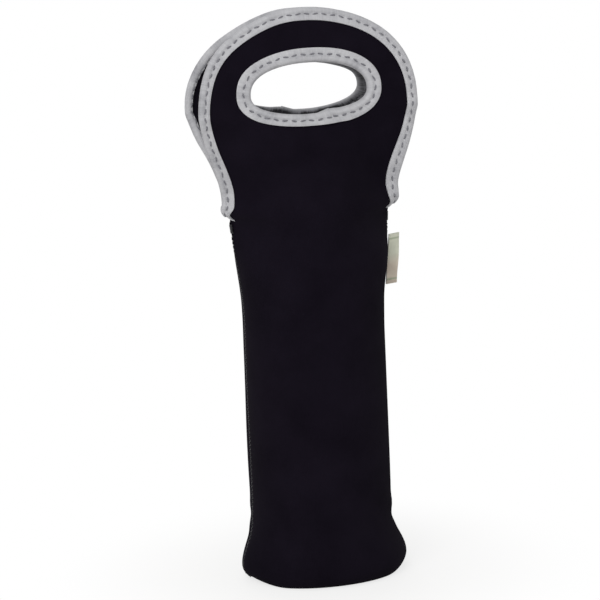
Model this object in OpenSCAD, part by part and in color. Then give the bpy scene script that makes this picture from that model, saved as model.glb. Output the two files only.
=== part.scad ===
// Soft carrier for one bottle, made of two identical paddle-shaped sheets of foam rubber with knit
// on both faces. The sheets are seamed along both sides and under the base. Above the seams they
// part into two handle leaves, each with a bound edge and a bound oval hand opening.
// Origin: middle of the base, on the surface it stands on. +Z up, front leaf towards -Y.

/* [Body] */
// Outer width of the round body
body_w = 87.5; // [84:0.5:104]
// Outer width across the two lower corners
flare_w = 104; // [96:1:112]
// Height at which the flared foot has run out into the round body
flare_h = 35; // [26:1:44]
// Radius with which the walls turn under the base
base_round = 8; // [7:0.5:12]
// Radius of the two lower corners, seen from the front
corner_r = 8.5; // [8:0.5:14]
// Height at which the round body starts to flatten towards the mouth
taper_z = 150; // [120:1:180]

/* [Sheet] */
// Thickness of the foam rubber core
foam_t = 3; // [2:0.25:4]
// Thickness of the knit on the outer face
face_t = 0.5; // [0.4:0.1:0.8]
// Thickness of the knit on the inner face
lining_t = 0.5; // [0.4:0.1:0.8]

/* [Handle leaves] */
// Height of the top ends of the side seams
seam_z = 223; // [205:1:235]
// Outer width at the top ends of the side seams
seam_w = 98; // [94:0.5:106]
// Depth of each sheet's bulge at the top ends of the side seams
seam_bulge = 35; // [30:1:40]
// Width of a leaf at its widest
head_w = 134.5; // [128:0.5:142]
// Height at which a leaf is widest
head_z = 290; // [284:1:298]
// Height of the top of the leaves
top_z = 348; // [342:1:360]
// Distance of a leaf's side edges from the middle plane where it is widest
head_spread = 17.5; // [16:0.5:22]
// Depth of a leaf's bulge where it is widest
head_bulge = 1; // [0:0.5:6]
// Gap left between one sheet of the body and the leaf above it, at the fold
fold_gap = 0.3; // [0.2:0.05:0.5]

/* [Hand opening] */
// Width of the cut opening in a leaf
hand_w = 74; // [66:0.5:80]
// Height of the opening above its widest line
hand_up = 18; // [14:0.5:21]
// Height of the opening below its widest line
hand_down = 13; // [10:0.5:16]
// Height of the opening's widest line
hand_z = 300.5; // [297:0.5:304]

/* [Binding] */
// Thickness of the binding tape
tape_t = 0.7; // [0.5:0.1:1]
// Width of the tape on each face along the outer edge
edge_tape_w = 6.2; // [5.4:0.2:9]
// Width of the tape on each face round the hand opening
hand_tape_w = 7.6; // [7:0.2:10]
// Share of the tape's width that is folded on to the inner face
tape_in_share = 0.6; // [0.5:0.05:1]
// Width of the stitching along the middle of the tape
stitch_w = 1.8; // [1.2:0.2:3]
// Thickness of the stitching's thread
stitch_t = 0.4; // [0.3:0.1:0.6]
// Clearance between the stitching and the tape under it
stitch_gap = 0.3; // [0.25:0.05:0.4]
// Clearance between the tape and the sheet it is folded over
tape_gap = 0.12; // [0.1:0.02:0.3]
// Further clearance at the narrower edge on the inner face
tape_tip_gap = 0.15; // [0.1:0.05:0.3]

/* [Seams] */
// Width of the stitching over a side seam
seam_stitch_w = 5; // [3:0.5:7]
// Height of the stitching above the sheet
seam_stitch_t = 0.5; // [0.3:0.1:0.7]
// Distance of each sheet's cut edge from the middle plane
seam_gap = 0.1; // [0.05:0.05:0.2]
// Height of the bar tack at the top of a side seam
tack_h = 6; // [4:0.5:8]
// Thickness of the bar tack
tack_t = 1; // [0.8:0.1:1.4]

/* [Side label] */
// Height of the folded label
label_h = 31; // [24:1:36]
// Distance the label stands out from the seam
label_w = 8.5; // [6:0.5:11]
// Thickness of the label's cloth
label_cloth = 0.4; // [0.3:0.05:0.6]
// Distance from the label's top to the seam's top end
label_drop = 15; // [11:1:20]
// Clearance between the label and the stitching that it swings on
label_gap = 0.3; // [0.2:0.05:0.5]
// Thickness of the folded label over both layers
label_t = 1.6; // [1.3:0.1:2.2]

/* [Hidden] */

// Layers of the sheet, as depths below its outer face
bond_gap = 0.05;
foam_out = face_t + bond_gap;
foam_in = foam_out + foam_t;
lining_out = foam_in + bond_gap;
sheet_t = lining_out + lining_t;

// Half widths that the sections are built on
body_half = body_w / 2;
flare_half = flare_w / 2;
seam_half = seam_w / 2;
head_half = head_w / 2;
hand_half = hand_w / 2;
// How far the ends of the ear's rows are drawn in, as a share of its depth
pinch_share = 0.3;
// Depth of the groove that the base seam lies in
groove_t = seam_stitch_t + 2 * bond_gap;
// Distance of the leaves' outer faces from the middle plane at the top of the head
top_spread = sheet_t + tape_t + 2 * tape_gap + seam_gap;

// Steps of the grids
side_steps = 16;
base_steps = 4;
turn_steps = 3;
flare_steps = 4;
taper_steps = 5;
arc_steps = 10;

// Power of the curve of the top of the head
head_power = 2.2;

// Shares of the height from the seam tops to the widest line, where the leaf's values are given
neck_z_shares = [0, 0.14, 0.28, 0.47, 0.68, 0.86, 1];
// Shares of the same height, where the outline's points lie up the neck
neck_row_shares = [0.05, 0.09, 0.13, 0.19, 0.26, 0.45, 0.66, 0.85, 1];
neck_steps = len(neck_row_shares);
// Half width at each of the first shares, from the seam tops' to the widest one
neck_w_shares = [0, 0.31, 0.31, 0.48, 0.73, 0.91, 1];
// Distance of the side edges from the middle plane there, as shares of the widest one
neck_spread_shares = [0.006, 0.28, 0.3, 0.44, 0.59, 0.79, 1];
// Bulge there, from the seam tops' to the one at the widest line
neck_bulge_shares = [0, 0.2, 0.29, 0.49, 0.68, 0.87, 1];
// Power of the section's curve there: half is an ellipse, and above one the edges flare outwards
neck_power_shares = [0.5, 1.2, 1.6, 1.7, 1.5, 1.2, 1];
// Height of the leaf's first row of points above the fold
fold_row_h = 2.5;
// Angle at which the base seam meets the lower corners' round
corner_start = 35;
// Share of the base's half width that lies flat on the surface under it
flat_share = 0.6;
// Power with which the ear's rows are drawn in towards their ends
pinch_power = 6;
// Power with which the leaves lean together towards the top of the head
lean_power = 1.6;
// Power of the curve of the hand opening
hand_power = 2.25;
// How much of a point's height on the outline turns it round the opening, so that the low side
// doesn't crowd
hand_spread_share = 0.62;
// Places of the rings between the tape round the opening and the tape along the outer edge
ring_shares = [0.34, 0.67];
ring_count = 6;
// How far the tape's ends lie from the outline's corner towards its next point
end_share = 0.1;
// How far the first row of the leaf is drawn in at its ends, as a share of the tape's width
row_in_share = 0.9;
// Part of the half width past which a point counts as on the edge
edge_share = 0.999;

// A value between two others
function mix(a, b, t) = a + (b - a) * t;
function mix_list(a, b, t) = [for (i = [0 : len(a) - 1]) mix(a[i], b[i], t)];
function limit(t) = max(0, min(1, t));
function ease(t) = let (u = limit(t)) u * u * (3 - 2 * u);
// Slope of a table at one of its places
function slope(places, values, i) =
    (i == 0 || i == len(places) - 1) ? 0
    : (values[i + 1] - values[i - 1]) / (places[i + 1] - places[i - 1]);
// Place of the table's stretch that holds t
function stretch_of(places, t, i = 0) =
    (i >= len(places) - 2 || t < places[i + 1]) ? i : stretch_of(places, t, i + 1);
// A smooth curve through a table of values
function curve(places, values, t) =
    let (i = stretch_of(places, t),
         h = places[i + 1] - places[i],
         u = limit((t - places[i]) / h),
         a = slope(places, values, i) * h,
         b = slope(places, values, i + 1) * h)
    values[i] * (2 * pow(u, 3) - 3 * u * u + 1) + a * (pow(u, 3) - 2 * u * u + u)
    + values[i + 1] * (3 * u * u - 2 * pow(u, 3)) + b * (pow(u, 3) - u * u);
function unit(v) = v / norm(v);

// Leaf: values that follow its height
function neck_share(z) = (z - seam_z) / (head_z - seam_z);
function head_share(z) = limit((z - head_z) / (top_z - head_z));
function leaf_half(z) =
    z <= head_z
    ? mix(seam_half, head_half, curve(neck_z_shares, neck_w_shares, neck_share(z)))
    : head_half * pow(1 - pow(head_share(z), head_power), 1 / head_power);
function leaf_spread(z) =
    z <= head_z
    ? head_spread * curve(neck_z_shares, neck_spread_shares, neck_share(z))
    : mix(head_spread, top_spread, pow(head_share(z), lean_power));
function leaf_bulge(z) =
    z <= head_z
    ? mix(seam_bulge, head_bulge, curve(neck_z_shares, neck_bulge_shares, neck_share(z)))
    : head_bulge * (1 - pow(head_share(z), 2));
function leaf_power(z) =
    z <= head_z ? curve(neck_z_shares, neck_power_shares, neck_share(z)) : 1;
// A point of the front leaf's outer face, at x and z
function leaf_point(x, z) =
    let (u = limit(abs(x) / max(leaf_half(z), tape_gap)))
    [x, -leaf_spread(z) - leaf_bulge(z) * pow(max(0, 1 - u * u), leaf_power(z)), z];
// Its outward direction there
probe = foam_t / 2;
function inside(x, z) = let (h = leaf_half(z)) max(-h, min(h, x));
function leaf_normal(x, z) =
    let (x0 = inside(x - probe, z),
         x1 = inside(x + probe, z),
         z1 = min(z + probe, top_z - probe / 2),
         z0 = max(z1 - 2 * probe, seam_z),
         across = leaf_point(x1, z) - leaf_point(x0, z),
         p0 = leaf_point(inside(x, z0), z0),
         p1 = leaf_point(inside(x, z1), z1),
         up = [0, p1.y - p0.y, p1.z - p0.z],
         turned = cross([max(across.x, tape_gap), across.y, 0], up),
         at_seam = ease(1 - (z - seam_z) / fold_row_h) * (abs(x) / leaf_half(z) > edge_share ? 1 : 0))
    unit(mix_list(unit(turned), [sign(x), 0, 0], at_seam));

// Outline of the leaf, from its lower left corner along the fold, up the right edge and round
fold_row_points = [for (j = [0 : side_steps])
    let (a = -90 + 180 * j / side_steps) [seam_half * sin(a), seam_z]];
neck_row_zs = [for (t = neck_row_shares) mix(seam_z, head_z, t)];
right_points = [for (z = neck_row_zs) [leaf_half(z), z]];
arc_points = [for (k = [1 : 2 * arc_steps - 1])
    let (a = 90 * k / arc_steps,
         s = pow(abs(sin(a)), 2 / head_power),
         c = pow(abs(cos(a)), 2 / head_power))
    [head_half * c * sign(cos(a)), mix(head_z, top_z, s)]];
left_points = [for (k = [neck_steps - 1 : -1 : 0]) let (z = neck_row_zs[k]) [-leaf_half(z), z]];
outline = concat(fold_row_points, right_points, arc_points, left_points);
outline_n = len(outline);
edge_first = side_steps;
edge_last = outline_n;

// Inward direction of the outline at one of its points
function outline_dir(i) =
    let (a = outline[(i + outline_n - 1) % outline_n], b = outline[(i + 1) % outline_n], d = b - a)
    unit([-d.y, d.x]);
// The same point moved in by the width of the tape
function outline_in(i) =
    i <= side_steps
    ? [outline[i].x * (1 - row_in_share * edge_tape_w / seam_half), seam_z + fold_row_h]
    : outline[i] + outline_dir(i) * edge_tape_w;

// Hand opening: a point of the cut for a point of the outline
function hand_point(a, grow = 0) =
    let (b = (sin(a) > 0 ? hand_up : hand_down) + grow)
    [(hand_half + grow) * sign(cos(a)) * pow(abs(cos(a)), 2 / hand_power),
     hand_z + b * sign(sin(a)) * pow(abs(sin(a)), 2 / hand_power)];
// Angle round the opening for a point of the outline
function hand_angle(i) = atan2((outline[i].y - hand_z) * hand_spread_share, outline[i].x);

// Rings of the leaf's grid, from the cut of the hand opening to the outline
function ring_point(i, k) =
    let (a = hand_angle(i), inner = hand_point(a, hand_tape_w), outer = outline_in(i))
    k == 0 ? hand_point(a)
    : k == 1 ? inner
    : k == 4 ? outer
    : k == 5 ? outline[i]
    : inner + (outer - inner) * ring_shares[k - 2];
function leaf_deep(p, depth) =
    let (x = max(-leaf_half(p.y), min(leaf_half(p.y), p.x)))
    leaf_point(x, p.y) - leaf_normal(x, p.y) * depth;
// The row above the fold stands clear of the body below it
function lifted(p) = [p.x, p.y, max(p.z, seam_z + fold_gap / 2)];
function leaf_grid(depth) =
    [for (k = [ring_count - 1 : -1 : 0]) [for (i = [0 : outline_n - 1])
        let (q = leaf_deep(ring_point(i, k), depth))
        (k == ring_count - 1 && i <= side_steps) ? fold_point(i, depth, fold_gap / 2) : lifted(q)]];

// Body: rows of the front sheet from the base seam up to the fold
function corner_angle(t) = mix(corner_start, 90, t);
function flare_half_at(z) =
    mix(flare_half, body_half, ease((z - corner_r) / (flare_h - corner_r)));
function body_half_at(z) =
    z < flare_h ? flare_half_at(z) : mix(body_half, seam_half, ease((z - taper_z) / (seam_z - taper_z)));
function body_bulge_at(z) = mix(body_half, seam_bulge, ease((z - taper_z) / (seam_z - taper_z)));
// Each row: half width, height at its ends, bulge in the middle, height in the middle
flat_half = body_half - base_round;
groove_half = seam_stitch_w / 4 + 2 * bond_gap;
base_depths = [0, groove_half, 2 * groove_half, flat_half / 2, flat_half];
base_rows = [for (k = [0 : base_steps])
    let (a = corner_angle(k / (base_steps + turn_steps)))
    [flare_half - corner_r * (1 - sin(a)), corner_r * (1 - cos(a)),
     base_depths[k], k < 2 ? groove_t : 0]];
turn_rows = [for (k = [1 : turn_steps])
    let (a = corner_angle((base_steps + k) / (base_steps + turn_steps)), b = 90 * k / turn_steps)
    [flare_half - corner_r * (1 - sin(a)), corner_r * (1 - cos(a)),
     flat_half + base_round * sin(b), base_round * (1 - cos(b))]];
flare_rows = [for (k = [1 : flare_steps])
    let (t = k / flare_steps, z = mix(corner_r, flare_h, t))
    [body_half_at(z), z, body_half, mix(base_round, flare_h, t)]];
straight_rows = [[body_half, mix(flare_h, taper_z, 0.5), body_half, mix(flare_h, taper_z, 0.5)],
    [body_half, taper_z, body_half, taper_z]];
taper_rows = [for (k = [1 : taper_steps])
    let (z = mix(taper_z, seam_z, k / taper_steps))
    [body_half_at(z), z, body_bulge_at(z), z]];
body_rows = concat(base_rows, turn_rows, flare_rows, straight_rows, taper_rows);
body_row_n = len(body_rows);
function body_point(k, j) =
    let (row = body_rows[k],
         a = -90 + 180 * j / side_steps,
         s = sin(a),
         up_share = ease((row[1] - corner_r) / (flare_h - corner_r)),
         narrow = 1 - pinch_share * pow(abs(s), pinch_power) * (1 - up_share))
    [row[0] * s, -seam_gap - row[2] * cos(a) * narrow, mix(row[3], row[1], end_rise(abs(s)))];
// Share of the rise of a base row towards its ends
function end_rise(s) = pow(limit((s - flat_share) / (1 - flat_share)), 2);
function body_normal(k, j) =
    let (up = body_point(min(k + 1, body_row_n - 1), j) - body_point(max(k - 1, 0), j),
         across = body_point(k, min(j + 1, side_steps)) - body_point(k, max(j - 1, 0)),
         n = unit(cross(across, up)),
         at_side = j == 0 || j == side_steps,
         a = corner_angle(k / (base_steps + turn_steps)),
         m = [n.x, (k == 0 || at_side) ? 0 : n.y, (k == body_row_n - 1) ? 0 : n.z])
    at_side && k <= base_steps + turn_steps ? [sin(a) * (j == 0 ? -1 : 1), 0, -cos(a)] : unit(m);
function body_grid(depth) =
    [for (k = [0 : body_row_n - 1]) [for (j = [0 : side_steps])
        let (q = body_point(k, j) - body_normal(k, j) * depth)
        k == body_row_n - 1 ? fold_point(j, depth, -fold_gap / 2) : [q.x, min(q.y, -seam_gap), q.z]]];
// A point of the fold between body and leaf, moved up or down by half the gap
function fold_point(j, depth, shift) =
    let (k = body_row_n - 1, n = body_normal(k, j), q = body_point(k, j) - n * depth)
    [q.x, q.y, seam_z + shift];

// Faces between two grids of the same size, the first outside, as one closed solid
function cell(a, b, c, d, other = false) = other ? [[a, b, d], [b, c, d]] : [[a, b, c], [a, c, d]];
function flat_list(lists) = [for (l = lists) for (v = l) v];
function flag(list, i) = i < len(list) ? list[i] : false;
// A cell is cut along its other diagonal where only one of its row and its column is flagged
module shell(outer, inner, ring = false, row_flags = [], col_flags = []) {
    rows = len(outer);
    cols = len(outer[0]);
    n = rows * cols;
    last = ring ? cols - 1 : cols - 2;
    end = (rows - 1) * cols;
    points = concat(flat_list(outer), flat_list(inner));
    tops = flat_list([for (r = [0 : rows - 2]) for (c = [0 : last])
        let (d = (c + 1) % cols)
        cell(r * cols + c, (r + 1) * cols + c, (r + 1) * cols + d, r * cols + d,
             flag(row_flags, r) != flag(col_flags, c))]);
    unders = [for (t = tops) [n + t[0], n + t[2], n + t[1]]];
    lows = flat_list([for (c = [0 : last])
        let (d = (c + 1) % cols) cell(c, d, n + d, n + c, ring && !flag(col_flags, c))]);
    highs = flat_list([for (c = [0 : last])
        let (d = (c + 1) % cols) cell(end + d, end + c, n + end + c, n + end + d)]);
    sides = ring ? [] : flat_list([for (r = [0 : rows - 2])
        let (a = r * cols, b = (r + 1) * cols, e = cols - 1)
        concat(cell(b, a, n + a, n + b), cell(a + e, b + e, n + b + e, n + a + e))]);
    polyhedron(points, concat(tops, unders, lows, highs, sides), convexity = 8);
}

// Tape folded over an edge: six points across, outer skin and inner skin
function tape_row(edge, tip, out) =
    let (lift = tape_gap + (out ? tape_t : 0),
         n = leaf_normal(edge.x, edge.y),
         e = leaf_deep(edge, 0),
         t = leaf_deep(tip, 0),
         away = unit([edge.x - tip.x, 0, edge.y - tip.y]),
         m = leaf_normal(tip.x, tip.y),
         back = e - n * (sheet_t + lift))
    [for (q = [t + m * lift, e + n * lift, e + away * lift, e - n * sheet_t + away * lift,
               back, mix_list(back, t - m * (sheet_t + lift + tape_tip_gap), tape_in_share)])
        [q.x, min(q.y, -bond_gap), q.z]];
function plain_row(i, out) = tape_row(outline[i % outline_n], outline_in(i % outline_n), out);
function mix_rows(a, b) = [for (i = [0 : len(a) - 1]) mix_list(a[i], b[i], end_share)];
function edge_row(i, out) =
    i == edge_first ? mix_rows(plain_row(i, out), plain_row(i + 1, out))
    : i == edge_last ? mix_rows(plain_row(i, out), plain_row(i - 1, out))
    : plain_row(i, out);
// On the right half the cells are cut the other way, so that both halves are alike
function on_right(i) = outline[i % outline_n].x + outline[(i + 1) % outline_n].x > 0;
edge_flags = [for (i = [edge_first : edge_last - 1]) on_right(i)];
leaf_flags = [for (i = [0 : outline_n - 1]) !on_right(i)];
function hand_row(i, out) = tape_row(ring_point(i, 0), ring_point(i, 1), out);
// Stitching along the middle of the tape's outer side
function stitch_row(row, width, depth) =
    let (tip = row[0], edge = row[1], mid = (tip + edge) / 2, along = unit(edge - tip),
         n = unit(row[1] - row[4]))
    [mid - along * width / 2 + n * depth, mid + along * width / 2 + n * depth];

// One layer of the sheet, between two depths below its outer face
module body_layer(from, to) { shell(body_grid(from), body_grid(to)); }
module leaf_layer(from, to) { shell(leaf_grid(from), leaf_grid(to), true, [], leaf_flags); }
module front_body_face() { color("#17151b") body_layer(0, face_t); }
module front_body_foam() { color("#232127") body_layer(foam_out, foam_in); }
module front_body_lining() { color("#1d1b20") body_layer(lining_out, sheet_t); }
module front_leaf_face() { color("#17151b") leaf_layer(0, face_t); }
module front_leaf_foam() { color("#232127") leaf_layer(foam_out, foam_in); }
module front_leaf_lining() { color("#1d1b20") leaf_layer(lining_out, sheet_t); }
module front_edge_binding() {
    color("#b9b9bd")
    shell([for (i = [edge_first : edge_last]) edge_row(i, true)],
          [for (i = [edge_first : edge_last]) edge_row(i, false)],
          false, edge_flags, [false, false, false, true, true]);
}
module front_hand_binding() {
    rows_out = [for (i = [0 : outline_n - 1]) hand_row(i, true)];
    rows_in = [for (i = [0 : outline_n - 1]) hand_row(i, false)];
    color("#b9b9bd") shell(turned(rows_out), turned(rows_in), true);
}
module front_edge_stitching() {
    rows = [for (i = [edge_first : edge_last]) edge_row(i, true)];
    color("#8b8b90")
    shell([for (r = rows) stitch_row(r, stitch_w, stitch_t + stitch_gap)],
          [for (r = rows) stitch_row(r, stitch_w, stitch_gap)], false, edge_flags);
}
module front_hand_stitching() {
    rows = [for (i = [0 : outline_n - 1]) hand_row(i, true)];
    color("#8b8b90")
    shell(turned([for (r = rows) stitch_row(r, stitch_w, stitch_t + stitch_gap)]),
          turned([for (r = rows) stitch_row(r, stitch_w, stitch_gap)]), true);
}
// Rows and columns of a grid exchanged
function turned(grid) = [for (c = [0 : len(grid[0]) - 1]) [for (r = [0 : len(grid) - 1]) grid[r][c]]];

module rear() { mirror([0, 1, 0]) children(); }
module rear_body_face() { rear() front_body_face(); }
module rear_body_foam() { rear() front_body_foam(); }
module rear_body_lining() { rear() front_body_lining(); }
module rear_leaf_face() { rear() front_leaf_face(); }
module rear_leaf_foam() { rear() front_leaf_foam(); }
module rear_leaf_lining() { rear() front_leaf_lining(); }
module rear_edge_binding() { rear() front_edge_binding(); }
module rear_edge_stitching() { rear() front_edge_stitching(); }
module rear_hand_binding() { rear() front_hand_binding(); }
module rear_hand_stitching() { rear() front_hand_stitching(); }

// Stitching that lies over a side seam, following the edge of the sheets
seam_first = base_steps + turn_steps;
function side_row(k, depth) =
    let (p = body_point(k, side_steps), n = body_normal(k, side_steps), w = seam_stitch_w / 2,
         z = k == body_row_n - 1 ? seam_z - tack_h - fold_gap : p.z,
         q = [p.x + n.x * depth, 0, z + n.z * depth])
    [[q.x, -w, q.z], [q.x, w, q.z]];
module right_seam_stitching() {
    rows = [seam_first : body_row_n - 1];
    color("#121015")
    shell([for (k = rows) side_row(k, bond_gap + seam_stitch_t)], [for (k = rows) side_row(k, bond_gap)]);
}
module left_seam_stitching() { mirror([1, 0, 0]) right_seam_stitching(); }
// Stitching along the base seam, sunk in its groove
module base_seam_stitching() {
    color("#121015")
    translate([0, 0, groove_t - seam_stitch_t / 2 - bond_gap])
    cube([2 * flat_half, seam_stitch_w / 2, seam_stitch_t], center = true);
}
// Dense tack over the top end of a side seam
module right_bar_tack() {
    color("#121015")
    translate([seam_half + bond_gap + tack_t / 2, 0, seam_z - fold_gap - tack_h / 2])
    cube([tack_t, seam_stitch_w, tack_h - fold_gap], center = true);
}
module left_bar_tack() { mirror([1, 0, 0]) right_bar_tack(); }

// Folded cloth label that stands out of the right side seam, with its fold outside
label_top = seam_z - label_drop;
label_low = label_top - label_h;
label_lean = atan((body_half_at(label_top) - body_half_at(label_low)) / label_h);
label_root = body_half_at(label_low) + seam_stitch_t + 2 * bond_gap + label_gap;
module side_label() {
    color("#d8d3c4")
    translate([label_root, 0, label_low])
    rotate([0, label_lean, 0])
    linear_extrude(height = label_h)
    difference() {
        label_outline(0, label_w, label_t);
        label_outline(label_t, label_w - label_cloth, label_t - 2 * label_cloth);
    }
}
// A strip with round ends, from one x to another
module label_outline(from, to, thick) {
    for (x = [from + thick / 2, to - thick / 2]) translate([x, 0]) circle(d = thick, $fn = 32);
    translate([from + thick / 2, -thick / 2]) square([to - from - thick, thick]);
}

front_body_face();
front_body_foam();
front_body_lining();
rear_body_face();
rear_body_foam();
rear_body_lining();
left_seam_stitching();
right_seam_stitching();
base_seam_stitching();
left_bar_tack();
right_bar_tack();
front_leaf_face();
front_leaf_foam();
front_leaf_lining();
front_edge_binding();
front_edge_stitching();
front_hand_binding();
front_hand_stitching();
rear_leaf_face();
rear_leaf_foam();
rear_leaf_lining();
rear_edge_binding();
rear_edge_stitching();
rear_hand_binding();
rear_hand_stitching();
side_label();
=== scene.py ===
# %% [markdown]
# A soft carrier for one bottle: two identical paddle-shaped sheets of foam rubber, seamed together at
# the sides and under the base. Above the seams they part into two leaves, each with a bound edge and
# a bound oval hand opening.
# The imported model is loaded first, as a fixed frame. Everything made below lies over one of its
# nodes, in the same metres, so nothing has to be fitted by eye.

# %% The frame
import math
import bmesh
import bpy
import numpy as np
from mathutils import Matrix, Vector


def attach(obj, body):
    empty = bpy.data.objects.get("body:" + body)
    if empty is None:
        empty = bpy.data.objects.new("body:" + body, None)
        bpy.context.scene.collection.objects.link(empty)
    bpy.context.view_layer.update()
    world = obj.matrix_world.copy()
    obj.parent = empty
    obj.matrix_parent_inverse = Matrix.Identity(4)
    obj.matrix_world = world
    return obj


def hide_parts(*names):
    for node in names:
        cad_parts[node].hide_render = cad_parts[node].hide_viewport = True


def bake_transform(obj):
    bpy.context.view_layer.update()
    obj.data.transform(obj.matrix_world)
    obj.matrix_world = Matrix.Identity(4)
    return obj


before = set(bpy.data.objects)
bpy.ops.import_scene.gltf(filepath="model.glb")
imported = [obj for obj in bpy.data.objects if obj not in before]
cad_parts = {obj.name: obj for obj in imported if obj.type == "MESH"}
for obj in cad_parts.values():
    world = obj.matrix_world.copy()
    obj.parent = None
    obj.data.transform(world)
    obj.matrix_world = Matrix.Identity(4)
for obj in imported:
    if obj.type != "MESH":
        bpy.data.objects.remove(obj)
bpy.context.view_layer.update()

# %% [markdown]
# The sheet was cut from a pattern, so its shape follows a rule. The rule is written down once, in
# millimetres, with the sizes of the part's source, and each piece below reads it. That keeps the
# tape on the edge of the sheet and the thread on the tape, with no measuring from meshes. Of these
# sizes, only the gap in the side seams is smaller than in the source, so that no light shows through.

# %% Sizes in millimetres
MM = 0.001
BODY_HALF, FLARE_HALF, SEAM_HALF, HEAD_HALF = 43.75, 52.0, 49.0, 67.25
FLARE_H, BASE_ROUND, CORNER_R, TAPER_Z = 35.0, 8.0, 8.5, 150.0
SEAM_Z, HEAD_Z, TOP_Z = 223.0, 290.0, 348.0
SEAM_BULGE, HEAD_SPREAD, HEAD_BULGE, TOP_SPREAD = 35.0, 17.5, 1.0, 5.14
HAND_HALF, HAND_UP, HAND_DOWN, HAND_Z = 37.0, 18.0, 13.0, 300.5
FACE_T, FOAM_T, LINING_T, BOND = 0.5, 3.0, 0.5, 0.05
SHEET_T = FACE_T + FOAM_T + LINING_T + 2 * BOND
TAPE_T, TAPE_GAP = 0.7, 0.12
# The share of a tape's width that is folded on to the inner face
TAPE_IN_SHARE = 0.6
SEAM_GAP, TACK_H = 0.02, 6.0
# The tape's nose is round, and its middle lies this far inside the cut edge
NOSE_IN = SHEET_T / 2
# Powers that make the leaf's top and the hand opening fuller than an ellipse, and the lean start late
HEAD_POWER, HAND_POWER, LEAN_POWER = 2.2, 2.25, 1.6

# %% [markdown]
# Tables give the leaf's half width, its distance from the middle plane, its bulge and the curve of its
# section at a few heights. A Hermite curve joins the values of a table without a kink, as a spring
# steel spline does on a pattern maker's table.

# %% The leaf's rule
NECK_Z = [0, 0.14, 0.28, 0.47, 0.68, 0.86, 1]
NECK_W = [0, 0.31, 0.31, 0.48, 0.73, 0.91, 1]
NECK_SPREAD = [0.006, 0.28, 0.3, 0.44, 0.59, 0.79, 1]
NECK_BULGE = [0, 0.2, 0.29, 0.49, 0.68, 0.87, 1]
NECK_POWER = [1.0, 1.2, 1.6, 1.7, 1.5, 1.2, 1]


def mix(a, b, t):
    return a + (b - a) * t


def ease(t):
    u = np.clip(t, 0, 1)
    return u * u * (3 - 2 * u)


def bell(v):
    return np.exp(-v ** 2)


def band(v, start, rise, end, fall):
    """Eases from 0 at the start to 1, and from the end back to 0."""
    return ease((v - start) / rise) * (1 - ease((v - end) / fall))


def through(places, values, t):
    """A smooth curve through a table of values."""
    places, values = np.array(places, float), np.array(values, float)
    slopes = np.zeros(len(places))
    slopes[1:-1] = (values[2:] - values[:-2]) / (places[2:] - places[:-2])
    i = np.clip(np.searchsorted(places, t, side="right") - 1, 0, len(places) - 2)
    h = places[i + 1] - places[i]
    u = np.clip((t - places[i]) / h, 0, 1)
    return (values[i] * (2 * u**3 - 3 * u**2 + 1) + slopes[i] * h * (u**3 - 2 * u**2 + u)
            + values[i + 1] * (3 * u**2 - 2 * u**3) + slopes[i + 1] * h * (u**3 - u**2))


def neck(z):
    return np.clip((z - SEAM_Z) / (HEAD_Z - SEAM_Z), 0, 1)


def head(z):
    return np.clip((z - HEAD_Z) / (TOP_Z - HEAD_Z), 0, 1)


def leaf_half(z):
    low = mix(SEAM_HALF, HEAD_HALF, through(NECK_Z, NECK_W, neck(z)))
    return np.where(z <= HEAD_Z, low, HEAD_HALF * (1 - head(z) ** HEAD_POWER) ** (1 / HEAD_POWER))


def leaf_spread(z):
    low = HEAD_SPREAD * through(NECK_Z, NECK_SPREAD, neck(z))
    return np.where(z <= HEAD_Z, low, mix(HEAD_SPREAD, TOP_SPREAD, head(z) ** LEAN_POWER))


def leaf_bulge(z):
    low = mix(SEAM_BULGE, HEAD_BULGE, through(NECK_Z, NECK_BULGE, neck(z)))
    return np.where(z <= HEAD_Z, low, HEAD_BULGE * (1 - head(z) ** 2))


def leaf_power(z):
    return np.where(z <= HEAD_Z, through(NECK_Z, NECK_POWER, neck(z)), 1.0)


def across_share(x, z):
    return np.clip(np.abs(x) / np.maximum(leaf_half(z), TAPE_GAP), 0, 1)


# %% [markdown]
# A real sheet doesn't hang as straight as its pattern. It was sewn and handled, so its edges wander
# by a few millimetres, and its two leaves don't match. Tables say how far it lies off
# the pattern at each height, and one function reads them for every layer, tape and thread.

# %% How the sheet lies
# In mm at each height: to the right along the left seam, along the right seam and at the rear leaf's
# left edge, to the right in the middle of the rear leaf, and forwards at the right edge of the front
# leaf
LIE_Z = [0, 8, 16, 30, 38, 50, 75, 113, 150, 163, 176, 190, 203,
         223, 228, 233, 245, 262, 275, 290, 304, 328, 349]
LIE = {
    "left": [0.3, 0, -0.3, -1.1, -0.9, -0.2, 0, 0, 0.4, 1, 1.6, 1.5, 1.0,
             -0.3, -2.2, 0, 0.5, 0.2, 0, 0, 0.4, 0, 0],
    "right": [0.6, 1.1, 0.8, 0, -0.1, -0.6, -0.6, -0.3, 0, 0, -0.2, 0.6, 1,
              1.4, 2.7, 0.7, 0, 0.6, 0.3, -0.8, -0.2, 1.6, 0],
    "rear": [0, 0, 0, 0, 0, 0, 0, 0, 0, 0, 0, 0, 0, 0.8, 1.4, 2.4, 2.6, 1.6, -0.6, -1.4, -1.4, 0, 0],
    "near": [0, 0, 0, 0, 0, 0, 0, 0, 0, 0, 0, 0, 0, 0, 0, 0.2, 0.6, 1.2, 1.7, 2, 2, 1, 0.4],
    "forward": [0, 0, 0, 0, 0, 0, 0, 0, 0, 0, 0, 0, 0, 0, 1.5, 3.2, 4, 3, 1.5, 0, 0, 0, 0],
}


# The rear leaf's left part starts at this share across, and its middle comes this much nearer to the
# front leaf for each mm that it lies to the right. Both start over a few mm above the seam tops.
LEFT_FROM, LEFT_OVER, NEARER, START_OVER = 0.3, 0.6, 1.5, 5


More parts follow.
